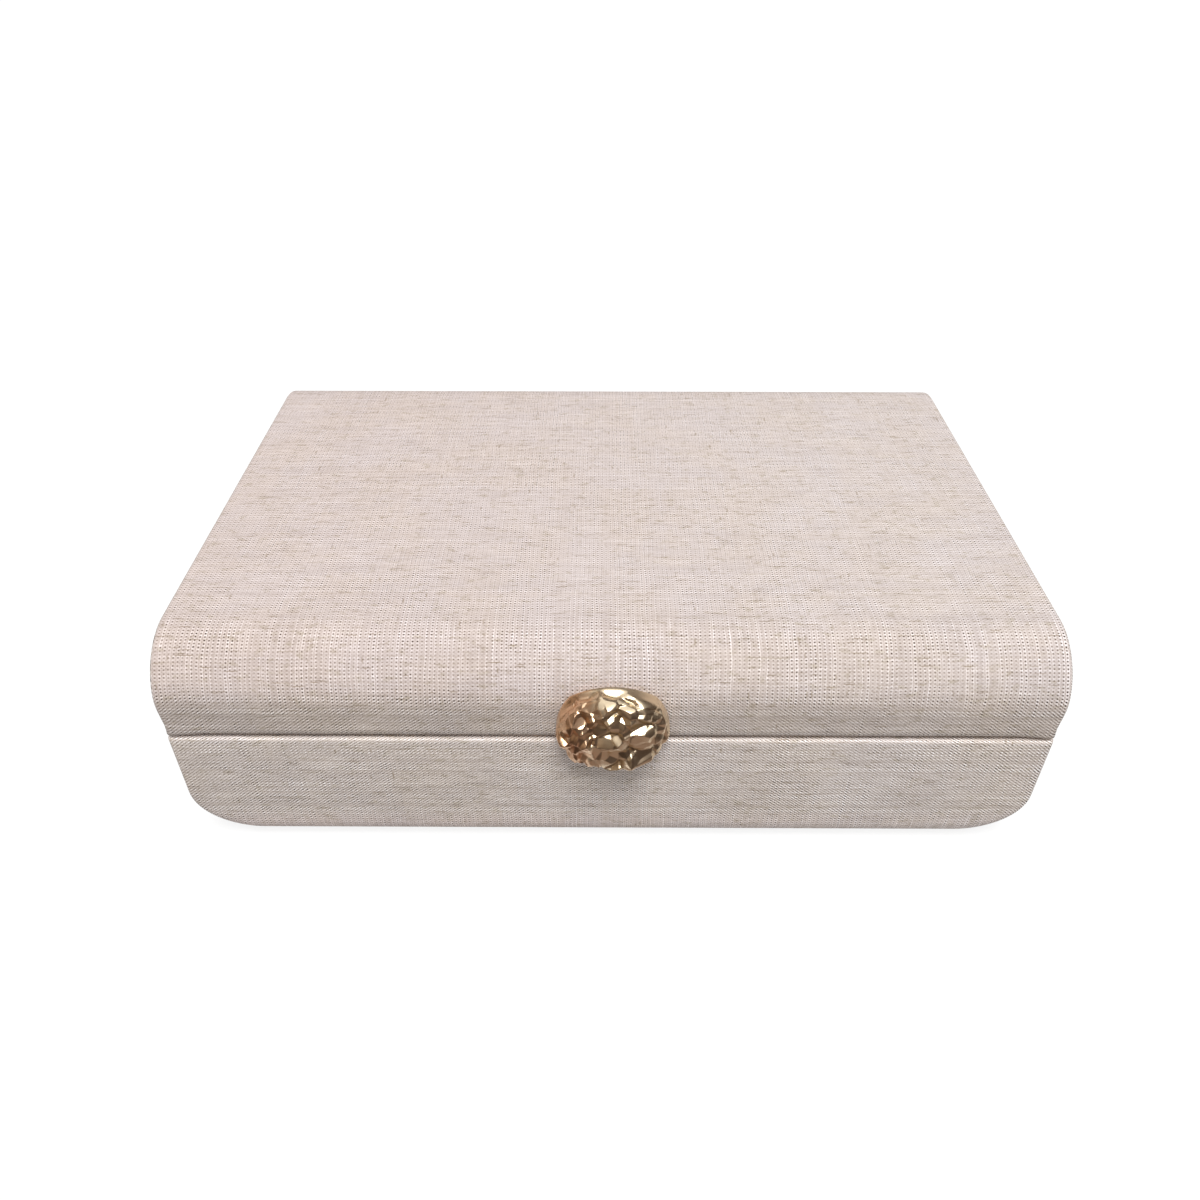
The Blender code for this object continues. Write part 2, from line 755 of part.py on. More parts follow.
def clasp():
    nugget = clasp_rim("clasp_nugget")
    for seed in range(CLASP_STONES):
        boolean(nugget, lump(f"clasp_stone_{seed + 1}", seed, CUTTERS), "UNION")
    z = SEAM + CLASP_SCREW_LEVEL
    centres = [(x, z) for x in row(2, CLASP_SCREW_SPACING)]
    inside = FRONT + SHELL_IN
    recess_floor = inside - (BACKING_PLATE + CLASP_SCREW_HEAD + 3 * FIT)
    plate_back = recess_floor + FIT
    plate_face = plate_back + BACKING_PLATE
    tip = CLASP_BACK - CLASP_SCREW_GRIP
    holes = cutter_cylinders_y(
        "clasp_screw_holes", centres, CLASP_SCREW_RADIUS + FIT, tip - FIT, inside + FIT, ROUND_SIDES
    )
    reach_x, reach_z = BACKING_LENGTH / 2, BACKING_HEIGHT / 2
    recess = block(
        "backing_recess",
        (-reach_x - FIT, recess_floor, z - reach_z - FIT),
        (reach_x + FIT, inside + LID_LONG_ROLL / 4, z + reach_z + FIT),
        CUTTERS,
        round_y=POCKET_CORNER,
    )
    backing = block(
        "clasp_backing_plate",
        (-reach_x, plate_back, z - reach_z),
        (reach_x, plate_face, z + reach_z),
        round_y=POCKET_CORNER,
    )
    for piece in (nugget, lid_pieces["shell"], lid_pieces["cover"], backing):
        boolean(piece, holes)
    boolean(lid_pieces["shell"], recess)
    steel(backing)
    brass(nugget)
    under_head = plate_face + FIT
    screw = turned_screw_mesh(
        "clasp_screw", CLASP_SCREW_HEAD_RADIUS, CLASP_SCREW_HEAD, CLASP_SCREW_RADIUS, under_head - tip
    )
    for word, (x, z) in zip(("left", "right"), centres):
        name = f"clasp_screw_{word}"
        lid_pieces[name] = fastener(name, screw, (x, under_head, z), ROUND_SIDES, steel)
    lid_pieces["nugget"] = nugget
    lid_pieces["backing"] = backing
    magnet_in(nugget)


def keeper():
    """The steel strip let into the base's front wall under the linen, facing the magnet."""
    face = FRONT + SHELL_OUT
    reach_x, reach_z = KEEPER_LENGTH / 2, KEEPER_HEIGHT / 2
    z = SEAM - SHELL_RIM - KEEPER_DROP - reach_z
    strip = block(
        "keeper_plate",
        (-reach_x, face + FIT / 2, z - reach_z),
        (reach_x, face + FIT / 2 + KEEPER_DEPTH, z + reach_z),
        round_y=POCKET_CORNER,
    )
    steel(strip)
    recess = block(
        "keeper_recess",
        (-reach_x - FIT, face - FIT, z - reach_z - FIT),
        (reach_x + FIT, face + FIT / 2 + KEEPER_DEPTH + FIT, z + reach_z + FIT),
        CUTTERS,
        round_y=POCKET_CORNER,
    )
    boolean(base_pieces["shell"], recess)


BORE = cylinder_x("hinge_bore", AXIS_Y, SEAM, BORE_RADIUS, -WIDTH / 2, WIDTH / 2, group=CUTTERS)

base_pieces = {
    "shell": shell("base_shell", BASE),
    "cover": cloth(BASE, "base_linen_cover"),
    "lining": lining("base_lining", BASE),
    "pad": pad("base_floor_pad", BASE, BASE_PAD),
}
lid_pieces = {
    "shell": shell("lid_shell", LID),
    "cover": cloth(LID, "lid_linen_cover"),
    "lining": lining("lid_lining", LID),
    "pad": pad("lid_pad", LID, LID_PAD),
}
underside()
hinge()
clasp()
keeper()

# The lid's pieces turn with an empty on the hinge's axis
lid_axis = bpy.data.objects.new("lid_hinge_axis", None)
lid_axis.location = (0, AXIS_Y, SEAM)
lid_axis.empty_display_size = LID_HEIGHT
PARTS.objects.link(lid_axis)
bpy.context.view_layer.update()
for piece in lid_pieces.values():
    piece.parent = lid_axis
    piece.matrix_parent_inverse = lid_axis.matrix_world.inverted()
bpy.context.view_layer.update()
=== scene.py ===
"""The linen-covered box, dressed round its solids: woven covers wrapped over the rims,
suedette and pads inside, a crumpled cast clasp, and a plain pale studio.

Lengths are in metres. X runs along the width, the front faces -Y and +Z is up.
"""

import json
import math

import bmesh
import bpy
from mathutils import Matrix, Vector, noise

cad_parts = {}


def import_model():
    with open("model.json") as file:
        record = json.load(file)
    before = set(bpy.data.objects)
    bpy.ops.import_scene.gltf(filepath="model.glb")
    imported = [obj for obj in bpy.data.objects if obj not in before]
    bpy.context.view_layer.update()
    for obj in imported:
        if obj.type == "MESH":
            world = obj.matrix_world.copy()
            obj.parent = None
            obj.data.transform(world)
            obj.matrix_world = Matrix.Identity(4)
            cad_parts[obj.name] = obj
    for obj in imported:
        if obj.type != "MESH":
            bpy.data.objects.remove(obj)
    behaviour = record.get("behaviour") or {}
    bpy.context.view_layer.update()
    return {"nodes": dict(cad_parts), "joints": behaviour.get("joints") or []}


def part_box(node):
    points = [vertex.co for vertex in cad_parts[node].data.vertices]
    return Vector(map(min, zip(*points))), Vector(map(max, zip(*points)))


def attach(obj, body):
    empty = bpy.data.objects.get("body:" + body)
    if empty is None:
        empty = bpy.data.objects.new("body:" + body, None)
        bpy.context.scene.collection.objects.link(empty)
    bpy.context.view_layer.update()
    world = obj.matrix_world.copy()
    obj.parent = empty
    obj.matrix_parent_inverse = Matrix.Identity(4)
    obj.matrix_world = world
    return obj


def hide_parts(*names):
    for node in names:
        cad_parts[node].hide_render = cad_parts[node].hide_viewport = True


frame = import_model()

# Sizes of the covers and linings that the solids' boxes don't give
LID_ROLL = 0.0162
LID_EDGE = 0.0012
BASE_END_ROLL = 0.0163
BASE_LONG_ROLL = 0.0065
CORNER = 0.0015
LINEN = 0.0007
TURN_FACE = 0.0065
TURN_IN = 0.0080
LID_RIM = 0.0026
LID_RIM_AT_ENDS = 0.0010
TIGHTENING = (0.0090, 0.0060, 0.0040, 0.0020, 0.0010)
TUCKED = 0.0011
TUCK_RISE = 0.0120
TUCK_CUTS = (0.3, 0.5, 0.75, 1)
BASE_RIM = 0.0009
END_RIM = 0.0006
RIM_INNER_FILLET = 0.0010
HEM = 0.0120
BACK_BEVEL = math.radians(50)
BEVEL_START = 0.0036
BARREL_GAP = 0.0020
FIT = 0.0003
LINING = 0.0008
LINING_LID_ROLL = 0.0086
LINING_BASE_ROLL = 0.0087
LINING_EDGE = 0.0012
PANEL_CORNER = 0.0080
PANEL_EDGE = 0.0004

# Pads: how they start, and how far the wadding may swell them
PAD_START = 0.0006
PAD_CORNER = 0.0040
PAD_VOXEL = 0.0016
PAD_CROWN = 0.0011
PAD_PRESSURE = 4.0
PAD_FRAMES = 20

# How finely curves are divided
ROLL_STEPS = 18
EDGE_STEPS = 3
RIM_STEPS = 5
CORNER_STEPS = 8

# Places
AXIS = Vector(frame["joints"][0]["pos_m"])
SEAM = AXIS.z
LID_LOW, LID_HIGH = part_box("lid_linen_cover")
BASE_LOW, BASE_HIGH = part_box("base_linen_cover")
HALF_WIDTH = LID_HIGH.x
HALF_DEPTH = LID_HIGH.y
HINGE_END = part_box("hinge_pin")[1].x

# Tolerances: a length, and how squarely a face must look along an axis
TINY = 1e-5
SQUARE = 0.99

# The weave
WARP_PITCH = 0.00054
WEFT_PITCH = 0.00043
WAVER = 0.0013
THREADS = "threads"

# Zones of the linen: distances over the cloth from the middle of a panel, and heights from the seam
ROLL_START = HALF_DEPTH - LID_ROLL
ROLL_END = ROLL_START + LID_ROLL * math.pi / 2
STRETCHED_ZONE = (ROLL_START - 0.0045, ROLL_START + 0.0075)
# The upright faces, where the light grazes the weave: the weave's painted light and shade are stronger there
DRAWN_ZONE = (ROLL_END - 0.0080, ROLL_END)
# Painted shade on the lid's front just under its roll, where the light from above falls away
UNDER_ROLL_SHADE_ZONE = (ROLL_END - 0.0075, ROLL_END - 0.0030)
# A band of painted shade along the lid's lower rim, with its weave blurred
LID_RIM_SHADE_ZONE = (0.0019, 0.0011)
# Painted light that lifts the dark gap at the lid's lowest fold
LID_FOLD_LIGHT_ZONE = (0.0006, 0.0001)
# Painted light: a bright band along the base's rim, just under the lid's edge
BASE_RIM_LIGHT_ZONE = (-0.0014, -0.0005)

# Colours of the linen
COOL_FLAX = (0.787, 0.680, 0.652)
WARM_FLAX = (0.780, 0.660, 0.606)
BARK_MOTTLE = (0.540, 0.445, 0.345)
BARK_FLECK = (0.370, 0.275, 0.190)

# The clasp
CLASP_LOW, CLASP_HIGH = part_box("clasp_nugget")
CLASP_CENTRE = (CLASP_LOW + CLASP_HIGH) / 2
CLASP_WALL = 0.0026
CLASP_WALL_STEPS = 12
CLASP_SQUARENESS = 0.15
CLASP_SHIFT = Vector((0.0006, 0, 0))
CLASP_SMOOTH_SIDE = math.radians(50)
CLASP_SEED = 8
CLASP_FOLDS = (
    # size of the folds, their height, and where their scatters of points are taken from
    (0.0060, 0.0040, Vector((3.1, 7.7, 1.3))),
    (0.0033, 0.0016, Vector((9.4, 2.2, 5.8))),
)
# How much wider the folds grow to the right, per metre, and how far their lines stray
CLASP_WIDENING = 20
CLASP_STRAYING = 0.25
# The depth over which the folds rise from the nugget's back, how much deeper it is on the smooth side,
# how much of the wall stays without folds there, and the mean height that is taken off them
CLASP_RISE = 0.0013
CLASP_SMOOTH_RISE = 0.0005
CLASP_SMOOTH_WALL = 0.35 * CLASP_WALL
CLASP_FOLD_MEAN = 0.0007
# Sideways share of a fold's move, in hollows and on lumps, and how the bottom leans back
CLASP_HOLLOW_ASIDE = 0.4
CLASP_LUMP_ASIDE = 0.15
CLASP_LEAN = 0.19

# Camera, table, world and tent
FOCAL_PIXELS = 970.5
PHOTO_PIXELS = 1200
SENSOR = 36.0
CAMERA_PLACE = (-0.00184, -0.23216, 0.20453)
CAMERA_DOWN = math.radians(38.111)
CAMERA_LEFT = math.radians(0.211)
CAMERA_ROLL = math.radians(0.057)
TABLE_SIZE = 12
TABLE_SHOWN = 0.86
TABLE_SHADED = (0.20, 0.20, 0.20)
TABLE_BOUNCE = (0.50, 0.50, 0.50)
AMBIENT = 0.24
TENT_RADIUS = 1.2
TENT_OPENING = math.radians(58)
TENT_HEM = -0.05
RUNNER_LEVEL = 0.0005
RUNNER_EDGE = -1.1 * HALF_DEPTH


# Working with operators

def deselect():
    if bpy.context.mode != "OBJECT":
        bpy.ops.object.mode_set(mode="OBJECT")
    bpy.ops.object.select_all(action="DESELECT")


def choose(obj):
    deselect()
    obj.select_set(True)
    bpy.context.view_layer.objects.active = obj


def edit(obj):
    choose(obj)
    bpy.ops.object.mode_set(mode="EDIT")
    bpy.ops.mesh.select_all(action="DESELECT")


def done():
    bpy.ops.object.mode_set(mode="OBJECT")


def settle(obj):
    """Puts the object's place, turn and scale into its mesh."""
    choose(obj)
    bpy.ops.object.transform_apply(location=True, rotation=True, scale=True)


def block(name, low, high):
    """A box from corner to corner."""
    deselect()
    size = Vector(high) - Vector(low)
    bpy.ops.mesh.primitive_cube_add(size=1, location=(Vector(high) + Vector(low)) / 2, scale=size)
    obj = bpy.context.object
    obj.name = name
    settle(obj)
    return obj


def pick(obj, kind, test):
    """Selects the vertices, edges or faces that pass a test."""
    bpy.ops.mesh.select_mode(type=kind)
    bpy.ops.mesh.select_all(action="DESELECT")
    mesh = bmesh.from_edit_mesh(obj.data)
    for item in {"VERT": mesh.verts, "EDGE": mesh.edges, "FACE": mesh.faces}[kind]:
        if test(item):
            item.select_set(True)
    mesh.select_flush_mode()
    bmesh.update_edit_mesh(obj.data)


def corners(places):
    """The low and high corners of the box round some points."""
    return [Vector([end(place[i] for place in places) for i in range(3)]) for end in (min, max)]


def middle(edge):
    return (edge.verts[0].co + edge.verts[1].co) / 2


def span(edge):
    return edge.verts[1].co - edge.verts[0].co


def modifier(obj, kind, **settings):
    """Adds a modifier with its settings and applies it."""
    choose(obj)
    made = obj.modifiers.new(kind.lower(), kind)
    for key, value in settings.items():
        setattr(made, key, value)
    bpy.ops.object.modifier_apply(modifier=made.name)


def cut(obj, tool, operation="DIFFERENCE", folded=False):
    modifier(obj, "BOOLEAN", operation=operation, solver="EXACT", use_self=folded, object=tool)
    bpy.data.objects.remove(tool, do_unlink=True)


def soften(obj, angle=math.radians(30)):
    choose(obj)
    bpy.ops.object.shade_smooth_by_angle(angle=angle)


def dress(obj, material, body, slot, *nodes):
    """Gives a finished piece its material and its body, and hides the solids that it stands for."""
    obj.data.materials.clear()
    obj.data.materials.append(material)
    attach(obj, body)
    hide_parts(*nodes)


# Linen covers

def slope_back(way):
    """Cuts the slope that lets the lid lean back. way is +1 on the lid and -1 on the base."""
    bpy.ops.mesh.select_all(action="SELECT")
    bpy.ops.mesh.bisect(
        plane_co=(0, HALF_DEPTH - BEVEL_START, SEAM),
        plane_no=(0, math.sin(BACK_BEVEL), -way * math.cos(BACK_BEVEL)),
        clear_outer=True,
        use_fill=True,
    )


def rim_rings(way):
    """Boxes that the rim is drawn through: over its outer edge, across, down its inner edge and on."""
    rings = []
    fillet = LID_RIM if way > 0 else BASE_RIM
    for i in range(1, RIM_STEPS + 1):
        turn = math.pi / 2 * i / RIM_STEPS
        inset = 1 - math.cos(turn)
        rings.append((END_RIM * inset, fillet * inset, fillet * (1 - math.sin(turn))))
    for i in range(RIM_STEPS, -1, -1):
        turn = math.pi / 2 * i / RIM_STEPS
        inset = TURN_FACE - RIM_INNER_FILLET * (1 - math.cos(turn))
        rings.append((inset, inset, RIM_INNER_FILLET * (1 - math.sin(turn))))
    rings.append((TURN_FACE, TURN_FACE, TURN_IN))
    rim = LID_LOW.z if way > 0 else BASE_HIGH.z
    for end, side, level in rings:
        slope = BEVEL_START - level / math.tan(BACK_BEVEL)
        back = HALF_DEPTH - (side if side > BEVEL_START else max(side, slope))
        wide = HALF_WIDTH - end
        yield Vector((-wide, side - HALF_DEPTH, rim + way * level)), Vector((wide, back, rim + way * level))


def fit_selection(obj, low, high):
    """Moves and stretches what is selected into a flat box."""
    now_low, now_high = corners([v.co for v in bmesh.from_edit_mesh(obj.data).verts if v.select])
    now = (now_low + now_high) / 2
    wanted = (low + high) / 2
    across = (high.x - low.x) / (now_high.x - now_low.x)
    deep = (high.y - low.y) / (now_high.y - now_low.y)
    bpy.ops.transform.resize(value=(across, deep, 1), center_override=now)
    bpy.ops.transform.translate(value=wanted - now)


def wrap_rim(obj, way):
    """Opens the cover at the rim and carries the linen over the rim and into the box."""
    start = LID_LOW.z + LID_RIM if way > 0 else BASE_HIGH.z - BASE_RIM
    pick(obj, "FACE", lambda f: way * f.normal.z < -SQUARE and abs(f.calc_center_median().z - start) < TINY)
    bpy.ops.mesh.delete(type="FACE")
    pick(obj, "EDGE", lambda e: e.is_boundary and abs(middle(e).z - start) < TINY)
    for low, high in rim_rings(way):
        bpy.ops.mesh.extrude_region_move()
        fit_selection(obj, low, high)


def cut_across(axis, place):
    """Cuts new edges into the mesh on a plane that stands across an axis."""
    facing = [float(i == axis) for i in range(3)]
    bpy.ops.mesh.select_all(action="SELECT")
    bpy.ops.mesh.bisect(plane_co=[place * part for part in facing], plane_no=facing)


def tighten_ends(obj):
    """Tucks the lid's lower corners in, and draws its soft front rim in to a tight one at the ends."""
    for inset in TIGHTENING:
        for side in (-1, 1):
            cut_across(0, side * (HALF_WIDTH - inset))
    for inset in TIGHTENING[:3]:
        for side in (-1, 1):
            cut_across(1, side * (HALF_DEPTH - inset))
    for part in TUCK_CUTS:
        cut_across(2, LID_LOW.z + TUCK_RISE * part)
    mesh = bmesh.from_edit_mesh(obj.data)
    for vert in mesh.verts:
        level = vert.co.z - LID_LOW.z
        inset = vert.co.y - LID_LOW.y
        low = max(1 - level / TUCK_RISE, 0) ** 1.5
        cornered = max(1 - (HALF_DEPTH - abs(vert.co.y)) / TIGHTENING[0], 0)
        ended = max(1 - (HALF_WIDTH - abs(vert.co.x)) / TIGHTENING[0], 0)
        vert.co.x -= math.copysign(TUCKED * low * cornered * ended, vert.co.x)
        if level < LID_RIM + TINY and inset < LID_RIM + TINY:
            shrink = 1 - ended * (1 - LID_RIM_AT_ENDS / LID_RIM)
            vert.co.z = LID_LOW.z + level * shrink
            vert.co.y = LID_LOW.y + inset * shrink
    bmesh.update_edit_mesh(obj.data)


def drop_stray_faces(obj):
    """Deletes the doubled face that a cut can leave on its own."""
    obj.data.validate()
    edit(obj)
    pick(obj, "FACE", lambda f: all(e.is_boundary for e in f.edges))
    bpy.ops.mesh.delete(type="FACE")
    done()


def finish_cloth(obj, way):
    """Gives the linen its thickness and trims it round the hinge's barrel and leaf."""
    modifier(obj, "SOLIDIFY", thickness=LINEN, offset=-1, use_even_offset=True)
    leaf = Vector((HINGE_END + FIT, AXIS.y, SEAM + TURN_IN + 2 * FIT))
    inner = Vector((-leaf.x, HALF_DEPTH - TURN_FACE - FIT, SEAM - TURN_IN - 2 * FIT))
    trim = block("hinge_trim", inner, leaf)
    deselect()
    bpy.ops.mesh.primitive_cylinder_add(
        vertices=64, radius=BARREL_GAP, depth=2 * leaf.x, location=AXIS, rotation=(0, math.pi / 2, 0)
    )
    cut(trim, bpy.context.object, "UNION")
    cut(obj, trim, folded=True)
    drop_stray_faces(obj)
    soften(obj)
    lay_threads(obj, way)


def travel(inset, rise, roll, flat):
    """Distance over the cloth from a panel's middle to a point this far in and this far from the panel."""
    if rise >= roll:
        return flat + roll * math.pi / 2 + rise - roll + max(inset, 0)
    if inset >= roll:
        return flat + roll - inset
    return flat + roll * (math.pi / 2 - math.atan2(roll - rise, roll - inset))


def lay_threads(obj, way):
    """Maps the cloth in metres, across along its threads, so that the weave follows every roll."""
    long_roll, end_roll = (LID_ROLL, LID_EDGE) if way > 0 else (BASE_LONG_ROLL, BASE_END_ROLL)
    panel = LID_HIGH.z if way > 0 else BASE_LOW.z
    uv = obj.data.uv_layers.new(name=THREADS)
    for face in obj.data.polygons:
        on_end = abs(face.normal.x) > max(abs(face.normal.y), 0.5)
        for loop in face.loop_indices:
            co = obj.data.vertices[obj.data.loops[loop].vertex_index].co
            rise = way * (panel - co.z)
            if on_end:
                far = travel(HALF_WIDTH - abs(co.x), rise, end_roll, HALF_WIDTH - end_roll)
                uv.data[loop].uv = (co.y, math.copysign(far, way * co.x))
            else:
                far = travel(HALF_DEPTH - abs(co.y), rise, long_roll, HALF_DEPTH - long_roll)
                uv.data[loop].uv = (co.x, math.copysign(far, way * co.y))


def turns(edge, side):
    """Whether an edge lies between a face that looks along an axis and one that doesn't."""
    first, second = (abs(f.normal[side]) > SQUARE for f in edge.link_faces)
    return first != second


def is_outline(edge, rim):
    """An edge between an end face and the cloth that wraps round, but not at the rim."""
    if len(edge.link_faces) != 2 or all(abs(v.co.z - rim) < TINY for v in edge.verts):
        return False
    return turns(edge, 0)


def lid_cover(material):
    low = Vector((LID_LOW.x, LID_LOW.y, LID_LOW.z + LID_RIM))
    obj = block("lid_linen", low, LID_HIGH)
    edit(obj)
    pick(obj, "EDGE", lambda e: abs(span(e).x) > HALF_WIDTH and middle(e).z > LID_HIGH.z - TINY)
    bpy.ops.mesh.bevel(offset=LID_ROLL, segments=ROLL_STEPS, profile=0.5, affect="EDGES")
    slope_back(1)
    pick(obj, "EDGE", lambda e: is_outline(e, low.z))
    bpy.ops.mesh.bevel(offset=LID_EDGE, segments=EDGE_STEPS, profile=0.5, affect="EDGES")
    wrap_rim(obj, 1)
    tighten_ends(obj)
    done()
    finish_cloth(obj, 1)
    dress(obj, material, "lid", "linen", "lid_linen_cover")


def base_cover(material):
    top = BASE_HIGH.z - BASE_RIM
    obj = block("base_linen", BASE_LOW, (BASE_HIGH.x, BASE_HIGH.y, top))
    edit(obj)
    pick(obj, "EDGE", lambda e: abs(span(e).y) > HALF_DEPTH and middle(e).z < BASE_LOW.z + TINY)
    bpy.ops.mesh.bevel(offset=BASE_END_ROLL, segments=ROLL_STEPS, profile=0.5, affect="EDGES")
    slope_back(-1)
    weigh_outline(obj, top)
    done()
    modifier(
        obj, "BEVEL", limit_method="WEIGHT", width=BASE_LONG_ROLL, segments=2 * EDGE_STEPS, loop_slide=True
    )
    edit(obj)
    wrap_rim(obj, -1)
    hem_underside(obj)
    done()
    finish_cloth(obj, -1)
    dress(obj, material, "base", "linen", "base_linen_cover")


def weigh_outline(obj, top):
    """Weighs the front's and back's outlines: a tight upright corner that opens into the long bottom roll."""
    mesh = bmesh.from_edit_mesh(obj.data)
    weights = mesh.edges.layers.float.new("bevel_weight_edge")
    tight = CORNER / BASE_LONG_ROLL
    for edge in mesh.edges:
        if len(edge.link_faces) != 2 or all(abs(v.co.z - top) < TINY for v in edge.verts):
            continue
        fronts = sum(abs(f.normal.y) > 0.5 and abs(f.normal.x) < 0.1 for f in edge.link_faces)
        if fronts != 1:
            continue
        rise = middle(edge).z - BASE_LOW.z
        spread = max(0.0, 1 - rise / BASE_END_ROLL)
        edge[weights] = tight + (1 - tight) * spread**2
    bmesh.update_edit_mesh(obj.data)


def hem_underside(obj):
    """Leaves only the turned-under edge of the linen on the bottom."""
    pick(obj, "FACE", lambda f: f.normal.z < -SQUARE and f.calc_center_median().z < BASE_LOW.z + TINY)
    bpy.ops.mesh.inset(thickness=HEM)
    bpy.ops.mesh.delete(type="FACE")


def underside_panel(material):
    """The linen-covered card that hides the hem, with its lower edge eased."""
    low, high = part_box("underside_panel")
    obj = block("underside_linen", low, high)
    edit(obj)
    pick(obj, "EDGE", lambda e: abs(span(e).z) > TINY)
    bpy.ops.mesh.bevel(offset=PANEL_CORNER, segments=CORNER_STEPS, profile=0.5, affect="EDGES")
    pick(obj, "EDGE", lambda e: all(v.co.z < low.z + TINY for v in e.verts))
    bpy.ops.mesh.bevel(offset=PANEL_EDGE, segments=EDGE_STEPS, profile=0.5, affect="EDGES")
    done()
    soften(obj)
    uv = obj.data.uv_layers.new(name=THREADS)
    for loop in obj.data.loops:
        co = obj.data.vertices[loop.vertex_index].co
        uv.data[loop.index].uv = (co.x, co.y + co.z)
    dress(obj, material, "base", "linen", "underside_panel")


# Inside

def lining(name, node, body, way, along_x, roll, material):
    """A thin moulded tray: two edges of its flat are rolled, and the rest are tight."""
    low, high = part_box(node)
    rim = low.z if way > 0 else high.z
    flat = high.z if way > 0 else low.z
    obj = block(name, low, high)
    edit(obj)
    pick(obj, "FACE", lambda f: abs(f.calc_center_median().z - rim) < TINY)
    bpy.ops.mesh.delete(type="FACE")
    side = 0 if along_x else 1
    pick(obj, "EDGE", lambda e: abs(middle(e).z - flat) < TINY and abs(span(e)[side]) > TINY)
    bpy.ops.mesh.bevel(offset=roll, segments=ROLL_STEPS - 4, profile=0.5, affect="EDGES")
    pick(obj, "EDGE", lambda e: len(e.link_faces) == 2 and turns(e, side))
    bpy.ops.mesh.bevel(offset=LINING_EDGE, segments=EDGE_STEPS, profile=0.5, affect="EDGES")
    done()
    modifier(obj, "SOLIDIFY", thickness=LINING, offset=-1, use_even_offset=True)
    soften(obj)
    dress(obj, material, body, "lining", node)


def pad(name, node, body, way, material):
    """A padded card: flat where it is glued down, and swollen by its wadding."""
    low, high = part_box(node)
    back = low.z if way > 0 else high.z
    inset = Vector((PAD_START, PAD_START, 0))
    loft = Vector((0, 0, PAD_CROWN))
    if way > 0:
        obj = block(name, low + inset, high - inset - loft)
    else:
        obj = block(name, low + inset + loft, high - inset)
    edit(obj)
    pick(obj, "EDGE", lambda e: abs(span(e).z) > TINY)
    bpy.ops.mesh.bevel(offset=PAD_CORNER, segments=CORNER_STEPS, profile=0.5, affect="EDGES")
    done()
    modifier(obj, "REMESH", mode="VOXEL", voxel_size=PAD_VOXEL)
    modifier(obj, "SMOOTH", factor=0.5, iterations=3)
    before = [vert.co.copy() for vert in obj.data.vertices]
    swell(obj, back)
    for vert, start in zip(obj.data.vertices, before):
        move = vert.co - start
        vert.co = start + move * (PAD_CROWN * math.tanh(move.length / PAD_CROWN) / max(move.length, TINY))
        vert.co = Vector([min(max(vert.co[i], low[i]), high[i]) for i in range(3)])
    modifier(obj, "SUBSURF", levels=1, render_levels=1)
    soften(obj, math.radians(60))
    dress(obj, material, body, "lining", node)


def swell(obj, back):
    """Blows the cloth up like a pillow, held where it is glued down."""
    glued = obj.vertex_groups.new(name="glued")
    held = [vert.index for vert in obj.data.vertices if abs(vert.co.z - back) < PAD_VOXEL / 2]
    glued.add(held, 1.0, "REPLACE")
    choose(obj)
    made = obj.modifiers.new("cloth", "CLOTH")
    settings = made.settings
    settings.quality = 5
    settings.use_pressure = True
    settings.uniform_pressure_force = PAD_PRESSURE
    settings.effector_weights.gravity = 0
    settings.vertex_group_mass = glued.name
    for step in range(1, PAD_FRAMES + 1):
        bpy.context.scene.frame_set(step)
    bpy.ops.object.modifier_apply(modifier=made.name)
    bpy.context.scene.frame_set(1)


# Clasp

def fold_height(off):
    """Height of crumpled foil: the squared distance to one scatter of points less that to another."""
    height = 0.0
    wide = off.copy()
    if off.x > 0:
        wide.x -= CLASP_WIDENING * off.x * off.x
    for size, strength, start in CLASP_FOLDS:
        place = wide / size
        place += start + CLASP_STRAYING * noise.noise_vector(place * 0.7)
        near, other = (
            noise.voronoi(at, distance_metric="DISTANCE_SQUARED")[0][0] for at in (place, place.zxy + start)
        )
        height += strength * (near - other)
    return height


def crumple(co, normal):
    """How far a point of the nugget moves: forward and back freely, but hardly out past the oval."""
    off = co - CLASP_CENTRE
    proud = CLASP_HIGH.y - co.y
    smooth = ((math.cos(math.atan2(off.z, off.x) - CLASP_SMOOTH_SIDE) + 1) / 2) ** 2
    rise = (proud - CLASP_SMOOTH_WALL * smooth) / (CLASP_RISE + CLASP_SMOOTH_RISE * smooth)
    rise = min(max(rise, 0), 1)
    height = (fold_height(off) - CLASP_FOLD_MEAN) * rise * rise * (3 - 2 * rise)
    if height > 0:
        height *= min(proud / (2 * CLASP_WALL), 1) ** 2 * (1 - 0.5 * max(-normal.z, 0))
    aside = height * (CLASP_HOLLOW_ASIDE if height < 0 else CLASP_LUMP_ASIDE)
    leaned = CLASP_LEAN * max(-off.z, 0) * rise
    return Vector((normal.x * aside, normal.y * height + leaned, normal.z * aside))


